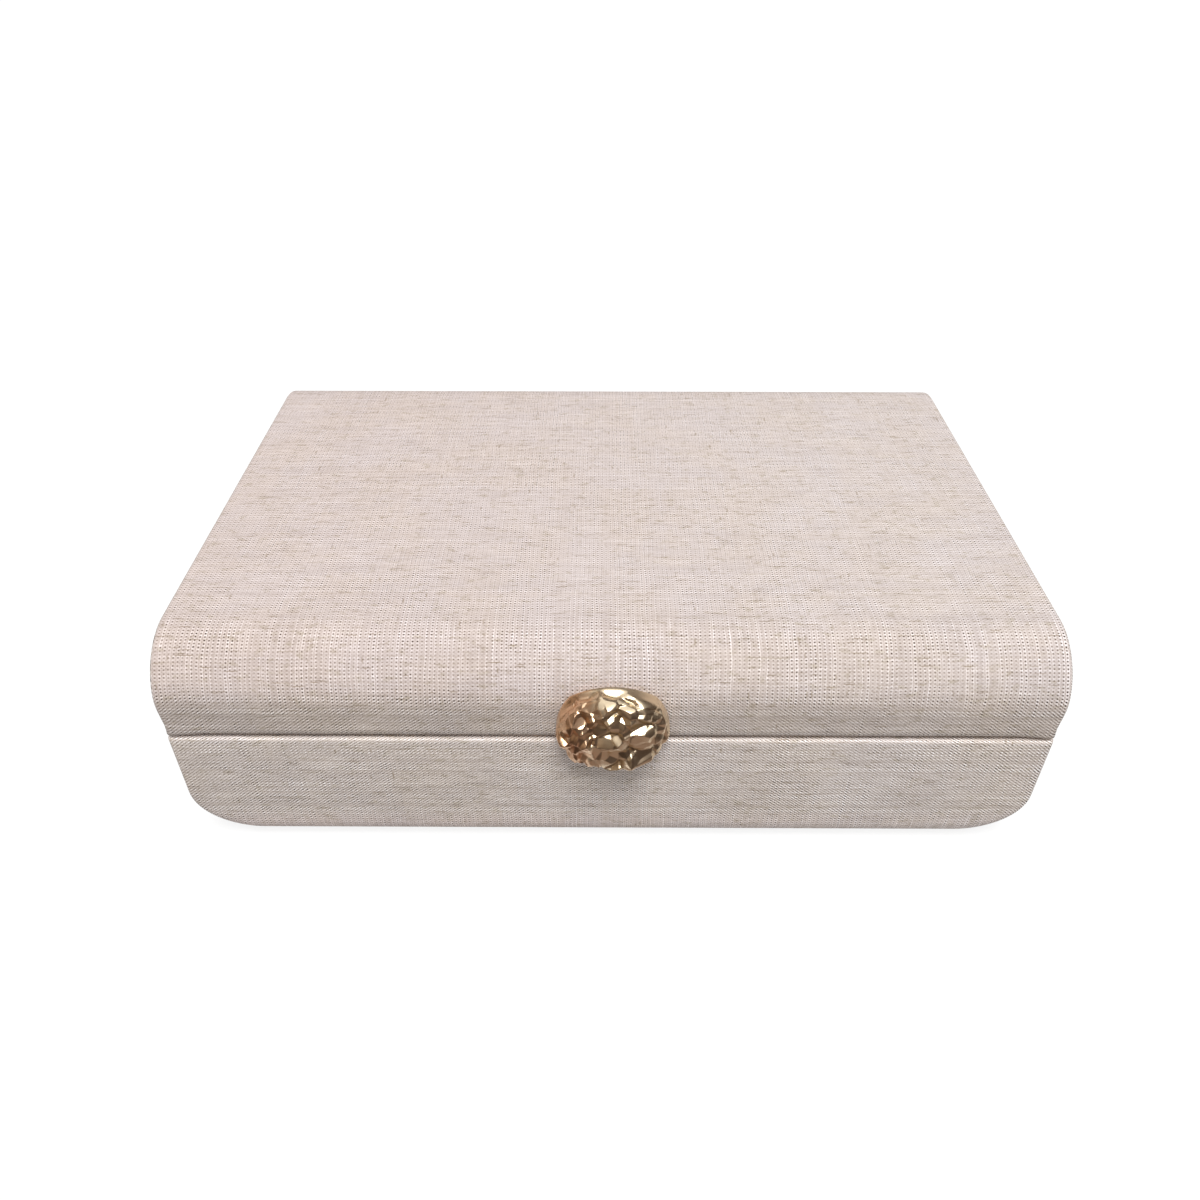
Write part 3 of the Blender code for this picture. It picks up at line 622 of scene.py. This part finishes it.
def clasp_body():
    """An oval button: a domed front on a short straight wall, with a pocket for the magnet."""
    deselect()
    bpy.ops.mesh.primitive_ico_sphere_add(subdivisions=8, radius=1, location=(0, 0, 0))
    obj = bpy.context.object
    obj.name = "crumpled_clasp"
    modifier(obj, "CAST", cast_type="CUBOID", factor=CLASP_SQUARENESS)
    low, high = corners([vert.co for vert in obj.data.vertices])
    edit(obj)
    bpy.ops.mesh.select_all(action="SELECT")
    bpy.ops.mesh.bisect(plane_co=(0, 0, 0), plane_no=(0, 1, 0), clear_outer=True)
    bpy.ops.mesh.select_all(action="SELECT")
    wide, deep, tall = CLASP_HIGH - CLASP_LOW
    stretch = (wide / (high.x - low.x), (deep - CLASP_WALL) / -low.y, tall / (high.z - low.z))
    bpy.ops.transform.resize(value=stretch, center_override=(0, 0, 0))
    bpy.ops.transform.translate(value=(CLASP_CENTRE.x, CLASP_HIGH.y - CLASP_WALL, CLASP_CENTRE.z))
    pick(obj, "EDGE", lambda e: e.is_boundary)
    step = (0, CLASP_WALL / CLASP_WALL_STEPS, 0)
    for _ in range(CLASP_WALL_STEPS):
        bpy.ops.mesh.extrude_region_move(TRANSFORM_OT_translate={"value": step})
    bpy.ops.mesh.edge_face_add()
    done()
    magnet_low, magnet_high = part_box("clasp_magnet")
    gap = Vector((FIT, FIT, FIT))
    cut(obj, block("magnet_pocket", magnet_low - gap, magnet_high + gap + Vector((0, FIT, 0))))
    return obj


def clasp(material):
    """The cast nugget: smooth on its wall at the top right, and crumpled over the rest."""
    obj = clasp_body()
    noise.seed_set(CLASP_SEED)
    moves = [crumple(vert.co, vert.normal) for vert in obj.data.vertices]
    for vert, move in zip(obj.data.vertices, moves):
        vert.co += move + CLASP_SHIFT
    modifier(obj, "SMOOTH", factor=0.5, iterations=4)
    modifier(obj, "DECIMATE", ratio=0.4)
    soften(obj, math.radians(60))
    dress(obj, material, "lid", "clasp_brass", "clasp_nugget")


# Materials

class Value:
    """What comes out of a node. Sums on it add Math nodes."""

    def __init__(self, paint, socket):
        self.paint = paint
        self.socket = socket

    def math(self, operation, *values):
        return self.paint.add("ShaderNodeMath", {"operation": operation}, dict(enumerate(values)))

    def __add__(self, other):
        return self.math("ADD", self, other)

    __radd__ = __add__

    def __sub__(self, other):
        return self.math("SUBTRACT", self, other)

    def __rsub__(self, other):
        return self.math("SUBTRACT", other, self)

    def __neg__(self):
        return 0 - self

    def __mul__(self, other):
        return self.math("MULTIPLY", self, other)

    __rmul__ = __mul__

    def __truediv__(self, other):
        return self.math("DIVIDE", self, other)

    def __pow__(self, other):
        return self.math("POWER", self, other)

    def cos(self):
        return self.math("COSINE", self)

    def sin(self):
        return self.math("SINE", self)

    def size(self):
        return self.math("ABSOLUTE", self)

    def floor(self):
        return self.math("FLOOR", self)

    def largest(self, other):
        return self.math("MAXIMUM", self, other)


class Paint:
    """One procedural material, built node by node."""

    def __init__(self, name):
        self.material = bpy.data.materials.new(name)
        self.material.use_nodes = True
        self.tree = self.material.node_tree
        self.shader = self.tree.nodes["Principled BSDF"]

    def add(self, kind, settings=None, values=None, output=0):
        """Adds a node: its settings first, then the values or links of its sockets."""
        node = self.tree.nodes.new(kind)
        for key, value in (settings or {}).items():
            setattr(node, key, value)
        for key, value in (values or {}).items():
            self.feed(node.inputs[key], value)
        return Value(self, node.outputs[output])

    def feed(self, socket, value):
        if isinstance(value, Value):
            self.tree.links.new(value.socket, socket)
        elif socket.type == "RGBA":
            socket.default_value = (*value, 1)
        else:
            socket.default_value = value

    def set(self, **sockets):
        """Feeds the shader's own sockets, named with underscores for spaces."""
        for name, value in sockets.items():
            self.feed(self.shader.inputs[name.replace("_", " ")], value)

    def object_place(self):
        return self.add("ShaderNodeTexCoord", output=3)

    def thread_place(self):
        return self.add("ShaderNodeUVMap", {"uv_map": THREADS})

    def parts(self, vector):
        node = self.tree.nodes.new("ShaderNodeSeparateXYZ")
        self.feed(node.inputs[0], vector)
        return [Value(self, socket) for socket in node.outputs]

    def vector(self, x, y, z=0.0):
        return self.add("ShaderNodeCombineXYZ", None, {0: x, 1: y, 2: z})

    def stretched(self, vector, x, y, z):
        return self.add("ShaderNodeVectorMath", {"operation": "MULTIPLY"}, {0: vector, 1: (x, y, z)})

    def noise(self, vector, scale=1.0, detail=2.0, roughness=0.5, twist=0.0):
        values = {"Vector": vector, "Scale": scale, "Detail": detail, "Roughness": roughness}
        return self.add("ShaderNodeTexNoise", None, {**values, "Distortion": twist})

    def chance(self, number):
        """A random number from 0 to 1 for each whole number."""
        return self.add("ShaderNodeTexWhiteNoise", {"noise_dimensions": "1D"}, {"W": number})

    def ease(self, value, start, end):
        """0 below start, 1 above end, and smooth between them."""
        values = {"Value": value, "From Min": start, "From Max": end}
        return self.add("ShaderNodeMapRange", {"interpolation_type": "SMOOTHSTEP"}, values)

    def mix(self, factor, first, second, blend="MIX"):
        settings = {"data_type": "RGBA", "blend_type": blend}
        return self.add("ShaderNodeMix", settings, {0: factor, 6: first, 7: second}, output=2)

    def cover(self, shader):
        """Shows another shader in place of the material's own."""
        self.tree.links.new(shader.socket, self.tree.nodes["Material Output"].inputs["Surface"])

    def bump(self, height, distance, strength=1.0):
        values = {"Height": height, "Distance": distance, "Strength": strength}
        self.set(Normal=self.add("ShaderNodeBump", None, values))


class Cloth:
    """The threads of a linen cover, and the zones that its looks change over."""

    def __init__(self, paint):
        self.place = paint.thread_place()
        self.u, self.v = paint.parts(self.place)[:2]
        self.count_threads(paint)
        self.find_zones(paint)
        self.cloud = paint.noise(self.place, 38, 3, 0.6)
        self.streak = paint.noise(paint.stretched(self.place, 45, 170, 1), 1, 3, 0.6)
        self.upright = paint.noise(paint.stretched(self.place, 170, 22, 1), 1, 3, 0.6)
        self.fibre = paint.noise(paint.stretched(self.place, 900, 2600, 1), 1, 2, 0.6) - 0.5

    def count_threads(self, paint):
        """Numbers the slightly wavering threads, and tells how near each point is to a gap."""
        waver = paint.noise(self.place, 70, 4, 0.6) - 0.5
        waver_across = paint.noise(paint.vector(self.v, self.u, 3.7), 70, 4, 0.6) - 0.5
        warp = (self.u + waver * WAVER) / WARP_PITCH
        weft = (self.v + waver_across * WAVER) / WEFT_PITCH
        self.warp_number = warp.floor()
        self.weft_number = weft.floor()
        self.warp_tone = paint.chance(self.warp_number) - 0.5
        self.weft_tone = paint.chance(self.weft_number + 0.5) - 0.5
        self.across_warp = (warp * math.pi).cos()
        self.across_weft = (weft * math.pi).cos()
        self.slanting = (warp * math.pi).sin() * (weft * math.pi).sin()
        self.warp_gap = self.across_warp * self.across_warp
        self.weft_gap = self.across_weft * self.across_weft
        self.warp_side = 1 - self.warp_gap
        self.weft_side = 1 - self.weft_gap

    def find_zones(self, paint):
        """Zones from 0 to 1: over the roll, on the upright faces that the light grazes, to the right, and
        along both rims.

        The zones under the lid's roll and along its rim carry painted shade, and those at the lid's lowest
        fold, along the base's rim and towards the right carry painted light. The slant is painted light and
        shade on the threads' relief: from 1 at the left, leaning one way, to -1, the other way, at the right.
        """
        far = self.v.size()
        self.stretched = paint.ease(far, *STRETCHED_ZONE)
        self.drawn = paint.ease(far, *DRAWN_ZONE)
        # Painted shade on the lid's front just under its roll
        self.under_roll_painted_shade = paint.ease(-self.v, *UNDER_ROLL_SHADE_ZONE)
        # Painted light: the cloth grows a little brighter towards the right
        self.rightwards_painted_light = paint.ease(self.u, -0.86 * HALF_WIDTH, 0.86 * HALF_WIDTH)
        # Painted light and shade of the threads' relief: slanting one way at the left and the other way at
        # the right
        self.painted_slant = (1 - paint.ease(self.u, -HALF_WIDTH / 3, HALF_WIDTH / 3) * 2) * self.drawn
        above = paint.parts(paint.object_place())[2] - SEAM
        self.on_lid = paint.ease(above, -0.0001, 0)
        # Painted shade along the lid's lower rim
        self.lid_rim_painted_shade = paint.ease(above, *LID_RIM_SHADE_ZONE) * self.on_lid
        # Painted light at the lid's lowest fold
        self.lid_fold_painted_light = paint.ease(above, *LID_FOLD_LIGHT_ZONE) * self.on_lid
        # Painted light along the base's rim
        self.base_rim_painted_light = paint.ease(above, *BASE_RIM_LIGHT_ZONE) * (1 - self.on_lid)


def weave_height(cloth):
    """Threads over and under each other, in pairs, and on the upright faces a slant that is painted light and
    shade of the relief, one way at the left and the other way at the right.
    """
    plain = 0.60 * cloth.across_warp * cloth.across_weft + 0.60 * cloth.painted_slant * cloth.slanting
    pairs = 0.40 * cloth.across_weft - 0.24 * (2 * cloth.warp_gap - 1)
    return plain + (1 - 0.6 * cloth.drawn) * pairs


def weave_tone(paint, cloth, weave):
    """Light and dark over the weave: every second gap both ways opens into a dark dot."""
    open_cloth = paint.noise(cloth.place, 55, 2)
    crossing = paint.noise(cloth.place, 800, 1)
    # The weave blurs in the painted shade along the lid's rim
    contrast = (0.2 + 1.6 * open_cloth) * (0.3 + 1.5 * crossing) * (1 - 0.6 * cloth.lid_rim_painted_shade)
    # Painted light and shade of the weave's relief, stronger on the upright faces that the light grazes
    contrast = contrast * (1 + (1.3 - 0.7 * cloth.painted_slant * cloth.painted_slant) * cloth.drawn)
    contrast = contrast * (1 + 0.9 * cloth.warp_tone) * (1 + 0.9 * cloth.weft_tone)
    pit = (-weave).largest(0)
    return contrast * (0.34 * weave - 0.24 * pit * pit)


def slubs(paint, cloth):
    """The tone and the thickness of threads that grow thicker and thinner along their length."""
    warp_slub = paint.noise(paint.vector(cloth.warp_number * 3.17, cloth.v * 75), 1, 2)
    weft_slub = paint.noise(paint.vector(cloth.u * 100, cloth.weft_number * 2.71, 5), 1, 2)
    thick_warp = paint.ease(warp_slub, 0.55, 0.75) * cloth.warp_side
    thick_weft = paint.ease(weft_slub, 0.55, 0.75) * cloth.weft_side

    pale_warp = paint.noise(paint.vector(cloth.warp_number * 0.83, cloth.v * 28, 2), 1, 1)
    uprights = 0.24 * cloth.warp_tone + 0.40 * (warp_slub - 0.5)
    uprights = uprights + 0.24 * paint.ease(pale_warp, 0.62, 0.74) * cloth.stretched
    tone = uprights * cloth.warp_side + 0.18 * thick_warp
    # On the upright faces the upright threads show less and the picks more, as painted light and shade of the
    # grazing light
    tone = tone * (0.3 + 0.7 * cloth.stretched) * (1 - 0.75 * cloth.drawn)

    picks = 0.22 * cloth.weft_tone + 0.40 * (weft_slub - 0.5)
    tone = tone + picks * cloth.weft_side * (0.8 + 0.9 * cloth.drawn) + 0.18 * thick_weft
    gaps = paint.noise(paint.vector(cloth.u * 110, cloth.weft_number * 1.93, 9), 1, 1)
    # The gaps between picks, deeper with painted shade on the upright faces
    depth = (0.35 + 0.25 * cloth.drawn) * cloth.weft_gap * cloth.weft_gap
    tone = tone - depth * paint.ease(gaps, 0.60, 0.74)
    return tone, thick_warp + thick_weft


def streaks_and_painted_light(cloth):
    """Paler and darker streaks, a touch darker over the lid's roll, painted shade under the lid's roll and
    along the lid's rim, and painted light at the lid's lowest fold, along the base's rim and growing towards
    the right.
    """
    tone = 1 + (0.22 + 0.22 * cloth.drawn) * (cloth.streak - 0.5)
    tone = tone * (0.97 + 0.06 * cloth.upright) * (0.97 + 0.05 * cloth.rightwards_painted_light)
    tone = tone * (1 - 0.12 * cloth.under_roll_painted_shade) * (1 - 0.04 * cloth.stretched * cloth.on_lid)
    return tone * (1 - 0.22 * cloth.lid_rim_painted_shade + 0.80 * cloth.lid_fold_painted_light) * (1 + 0.16 * cloth.base_rim_painted_light)


def flax(paint, cloth):
    """The threads' colour: patches of cooler and warmer flax, soft bark mottles and flecks on a thread."""
    warm = paint.ease(cloth.cloud * 0.5 + cloth.streak * 0.3 + cloth.upright * 0.2, 0.40, 0.60)
    colour = paint.mix(warm, COOL_FLAX, WARM_FLAX)
    mottle = paint.noise(paint.stretched(cloth.place, 330, 640, 1), 1, 3, 0.6) + 0.15 * (cloth.cloud - 0.5)
    colour = paint.mix(paint.ease(mottle, 0.52, 0.72) * 0.60, colour, BARK_MOTTLE)
    weft_fleck = paint.noise(paint.vector(cloth.u * 210, cloth.weft_number * 5.3, 1.3), 1, 1.5)
    warp_fleck = paint.noise(paint.vector(cloth.warp_number * 4.7, cloth.v * 230, 8.1), 1, 1.5)
    crowd = 0.05 * (cloth.cloud - 0.5) + 0.05 * (cloth.streak - 0.5)
    fleck = paint.ease(weft_fleck + crowd, 0.61, 0.74) * cloth.weft_side
    fleck = fleck.largest(paint.ease(warp_fleck + crowd, 0.67, 0.78) * cloth.warp_side)
    return paint.mix(fleck * 0.85, colour, BARK_FLECK)


def woven_linen():
    """Plain weave with uneven threads, slubs, brown flecks, paler and darker patches, and painted shade and
    light along the rolls, the rims and the upright faces.
    """
    paint = Paint("linen")
    cloth = Cloth(paint)
    weave = weave_height(cloth)
    slub_tone, thickness = slubs(paint, cloth)
    tone = 1 + weave_tone(paint, cloth, weave) + slub_tone + 0.32 * cloth.fibre
    tone = tone * streaks_and_painted_light(cloth)
    # A touch less red on the upright faces and towards the right, and a touch less blue on the upright faces
    red = tone**0.88 * (1 - 0.03 * cloth.drawn.largest(0.8 * cloth.rightwards_painted_light))
    blue = tone**1.10 * (1 - 0.02 * cloth.drawn)
    colour = paint.mix(1.0, flax(paint, cloth), paint.vector(red, tone, blue), "MULTIPLY")
    paint.set(Base_Color=colour, Roughness=0.88, Sheen_Weight=0.12, Sheen_Roughness=0.6)
    paint.set(Specular_IOR_Level=0.25)
    paint.bump(0.5 * weave + 0.35 * thickness + 0.25 * cloth.fibre, 0.00011, 0.75)
    return paint.material


def suedette():
    """Short-napped cloth, brushed a little darker and lighter in soft strokes."""
    paint = Paint("suedette")
    place = paint.object_place()
    stroke = paint.noise(paint.stretched(place, 60, 90, 60), 1, 3, 0.6)
    nap = paint.noise(place, 2600, 2, 0.6)
    colour = paint.mix(paint.ease(stroke, 0.25, 0.75), (0.55, 0.485, 0.395), (0.61, 0.54, 0.445))
    grain = 0.88 + 0.24 * nap
    paint.set(Base_Color=paint.mix(1.0, colour, paint.vector(grain, grain, grain), "MULTIPLY"))
    paint.set(Roughness=0.95, Sheen_Weight=0.35, Sheen_Roughness=0.5, Specular_IOR_Level=0.2)
    paint.bump(nap + 0.5 * stroke, 0.00010, 0.5)
    return paint.material


def fibreboard():
    paint = Paint("fibreboard")
    place = paint.object_place()
    fibre = paint.noise(paint.stretched(place, 220, 900, 900), 1, 4, 0.65, 0.6)
    flake = paint.noise(place, 1500, 2)
    colour = paint.mix(paint.ease(fibre, 0.3, 0.7), (0.20, 0.13, 0.075), (0.39, 0.28, 0.18))
    paint.set(Base_Color=paint.mix(paint.ease(flake, 0.62, 0.7), colour, (0.50, 0.38, 0.26)))
    paint.set(Roughness=0.75 + 0.15 * fibre)
    paint.bump(fibre + 0.4 * flake, 0.0001, 0.5)
    return paint.material


def card():
    paint = Paint("card")
    place = paint.object_place()
    pulp = paint.noise(place, 900, 4, 0.7)
    colour = paint.mix(paint.ease(pulp, 0.35, 0.65), (0.33, 0.28, 0.21), (0.48, 0.42, 0.33))
    paint.set(Base_Color=colour, Roughness=0.85 + 0.1 * pulp)
    paint.bump(pulp, 0.00006, 0.5)
    return paint.material


def rolled_brass():
    """Satin sheet brass: fine lines along the strip, and a little tarnish."""
    paint = Paint("rolled_brass")
    place = paint.object_place()
    lines = paint.noise(paint.stretched(place, 90, 6000, 6000), 1, 3)
    tarnish = paint.ease(paint.noise(place, 160, 4, 0.6), 0.45, 0.75)
    colour = paint.mix(tarnish, (0.78, 0.57, 0.29), (0.47, 0.32, 0.16))
    paint.set(Base_Color=colour, Metallic=1.0, Roughness=0.24 + 0.18 * lines + 0.15 * tarnish)
    paint.bump(lines, 0.00002, 0.3)
    return paint.material


def crumpled_brass():
    """Cast brass in antique gold: bright on its ridges and brown in its creases, with a painted warm
    reflection that makes its left side coppery.
    """
    paint = Paint("crumpled_brass")
    place = paint.object_place()
    ridge = paint.add("ShaderNodeNewGeometry", output=7)
    cloud = paint.noise(place, 260, 3, 0.6)
    grain = paint.noise(place, 2600, 3, 0.6)
    # Painted reflection: the coppery tint at the left stands for warm surroundings mirrored there
    left = paint.ease(paint.parts(place)[0] + (cloud - 0.5) * 0.012, -0.001, -0.008)
    colour = paint.mix(cloud, (0.88, 0.73, 0.50), (0.84, 0.68, 0.48))
    colour = paint.mix(left * 0.85, colour, (0.82, 0.52, 0.32))
    colour = paint.mix(paint.ease(ridge, 0.490, 0.42) * 0.75, colour, (0.17, 0.115, 0.08))
    colour = paint.mix(paint.ease(ridge, 0.52, 0.60) * 0.6, colour, (0.95, 0.83, 0.62))
    paint.set(Base_Color=colour, Metallic=1.0, Roughness=0.22 + 0.12 * cloud + 0.04 * grain)
    paint.bump(grain, 0.00003, 0.15)
    return paint.material


def plated(name, colour, spread):
    """Plated metal, with a faint cloudy spangle."""
    paint = Paint(name)
    place = paint.object_place()
    spangle = paint.noise(place, 500, 3, 0.6)
    dark = tuple(c * spread for c in colour)
    paint.set(Base_Color=paint.mix(paint.ease(spangle, 0.35, 0.65), dark, colour), Metallic=1.0)
    paint.set(Roughness=0.26 + 0.16 * spangle)
    paint.bump(spangle, 0.00002, 0.2)
    return paint.material


def paint_nodes(material, *names):
    """Gives CAD nodes that stay a finish of their own."""
    for name in names:
        slots = frame["nodes"][name].data.materials
        slots.clear()
        slots.append(material)


# Studio

def camera():
    data = bpy.data.cameras.new("camera")
    data.sensor_fit = "HORIZONTAL"
    data.sensor_width = SENSOR
    data.lens = FOCAL_PIXELS / PHOTO_PIXELS * SENSOR
    data.clip_start = 0.01
    obj = bpy.data.objects.new("camera", data)
    bpy.context.scene.collection.objects.link(obj)
    turned = Matrix.Rotation(CAMERA_LEFT, 4, "Z") @ Matrix.Rotation(math.pi / 2 - CAMERA_DOWN, 4, "X")
    obj.matrix_world = Matrix.Translation(CAMERA_PLACE) @ turned @ Matrix.Rotation(CAMERA_ROLL, 4, "Z")
    bpy.context.scene.camera = obj


def background_rays(tree):
    """1 for the rays that show the background: straight to the camera, mirrored, or through glass."""
    rays = tree.nodes.new("ShaderNodeLightPath")
    shown = rays.outputs["Is Camera Ray"]
    for way in ("Is Glossy Ray", "Is Transmission Ray"):
        largest = tree.nodes.new("ShaderNodeMath")
        largest.operation = "MAXIMUM"
        tree.links.new(shown, largest.inputs[0])
        tree.links.new(rays.outputs[way], largest.inputs[1])
        shown = largest.outputs[0]
    return shown


def floor():
    """A white table that keeps the box's shadow."""
    deselect()
    bpy.ops.mesh.primitive_plane_add(size=TABLE_SIZE, location=(0, 0, 0))
    obj = bpy.context.object
    obj.name = "table"
    paint = Paint("white_table")
    shown = paint.add("ShaderNodeEmission", None, {"Color": (1, 1, 1), "Strength": TABLE_SHOWN})
    shaded = paint.add("ShaderNodeBsdfDiffuse", None, {"Color": TABLE_SHADED})
    seen = paint.add("ShaderNodeAddShader", None, {0: shown, 1: shaded})
    bounced = paint.add("ShaderNodeBsdfDiffuse", None, {"Color": TABLE_BOUNCE})
    rays = Value(paint, background_rays(paint.tree))
    paint.cover(paint.add("ShaderNodeMixShader", None, {0: rays, 1: bounced, 2: seen}))
    obj.data.materials.append(paint.material)


def world():
    """White where it shows, and a soft grey light on the box."""
    made = bpy.data.worlds.new("studio")
    made.use_nodes = True
    bpy.context.scene.world = made
    tree = made.node_tree
    strength = tree.nodes.new("ShaderNodeMapRange")
    tree.links.new(background_rays(tree), strength.inputs["Value"])
    strength.inputs["To Min"].default_value = AMBIENT
    strength.inputs["To Max"].default_value = 1.0
    back = tree.nodes["Background"]
    back.inputs["Color"].default_value = (1, 1, 1, 1)
    tree.links.new(strength.outputs[0], back.inputs["Strength"])


def sun(elevation, azimuth, strength, angle):
    """A broad, even light. Azimuth 0 stands in front of the box, and 90 at its right."""
    data = bpy.data.lights.new("key", "SUN")
    data.energy = strength
    data.angle = math.radians(angle)
    obj = bpy.data.objects.new("key", data)
    bpy.context.scene.collection.objects.link(obj)
    high, turned = math.radians(elevation), math.radians(azimuth)
    level = math.cos(high)
    towards = Vector((math.sin(turned) * level, -math.cos(turned) * level, math.sin(high)))
    obj.rotation_euler = towards.to_track_quat("Z", "Y").to_euler()


def only_in_metal(obj, dark, light):
    """Keeps a cloudy dark cloth out of the picture, so that it shows in the metal alone."""
    obj.visible_camera = False
    obj.visible_diffuse = False
    obj.visible_transmission = False
    obj.visible_shadow = False
    paint = Paint(obj.name)
    place = paint.object_place()
    right = paint.ease(paint.parts(place)[0], -0.50, 0.10)
    cloud = paint.ease(paint.noise(place, 3.6, 2) - 0.04 * right, 0.52, 0.62)
    tint = paint.mix(right, (1.05, 0.90, 0.78), (0.55, 0.47, 0.48))
    colour = paint.mix(1.0, paint.mix(cloud, dark, light), tint, "MULTIPLY")
    paint.cover(paint.add("ShaderNodeEmission", None, {"Color": colour, "Strength": 1.0}))
    obj.data.materials.append(paint.material)


def tent():
    """Brown cloth hung all round, open overhead, and a dark runner on the table in front."""
    deselect()
    bpy.ops.mesh.primitive_uv_sphere_add(segments=64, ring_count=48, radius=TENT_RADIUS, location=(0, 0, 0))
    cloth = bpy.context.object
    cloth.name = "brown_tent"
    opening = TENT_RADIUS * math.sin(TENT_OPENING)
    edit(cloth)
    pick(cloth, "FACE", lambda f: not TENT_HEM < f.calc_center_median().z < opening)
    bpy.ops.mesh.delete(type="FACE")
    done()
    only_in_metal(cloth, (0.075, 0.060, 0.050), (0.92, 0.84, 0.76))
    deselect()
    bpy.ops.mesh.primitive_plane_add(size=1, location=(0, RUNNER_EDGE - TENT_RADIUS / 2, RUNNER_LEVEL))
    runner = bpy.context.object
    runner.name = "dark_runner"
    runner.scale = (2 * TENT_RADIUS, TENT_RADIUS, 1)
    settle(runner)
    only_in_metal(runner, (0.045, 0.035, 0.028), (0.50, 0.43, 0.37))


def studio():
    bpy.context.scene.view_settings.view_transform = "Standard"
    camera()
    floor()
    world()
    sun(elevation=69, azimuth=10, strength=2.6, angle=26)
    tent()


linen_cloth = woven_linen()
lid_cover(linen_cloth)
base_cover(linen_cloth)
underside_panel(linen_cloth)
inside = suedette()
lining("lid_suedette", "lid_lining", "lid", 1, True, LINING_LID_ROLL, inside)
lining("base_suedette", "base_lining", "base", -1, False, LINING_BASE_ROLL, inside)
pad("lid_cushion", "lid_pad", "lid", -1, inside)
pad("floor_cushion", "base_floor_pad", "base", 1, inside)
clasp(crumpled_brass())
paint_nodes(fibreboard(), "base_shell", "lid_shell")
paint_nodes(card(), "underside_filler_card")
paint_nodes(
    rolled_brass(),
    "hinge_base_leaf",
    "hinge_lid_leaf",
    *(f"hinge_{half}_screw_{i}" for half in ("base", "lid") for i in range(1, 6)),
)
paint_nodes(
    plated("zinc", (0.60, 0.60, 0.59), 0.8),
    "hinge_pin",
    "keeper_plate",
    "clasp_backing_plate",
    "clasp_screw_left",
    "clasp_screw_right",
)
paint_nodes(plated("nickel", (0.66, 0.64, 0.60), 0.9), "clasp_magnet")
studio()
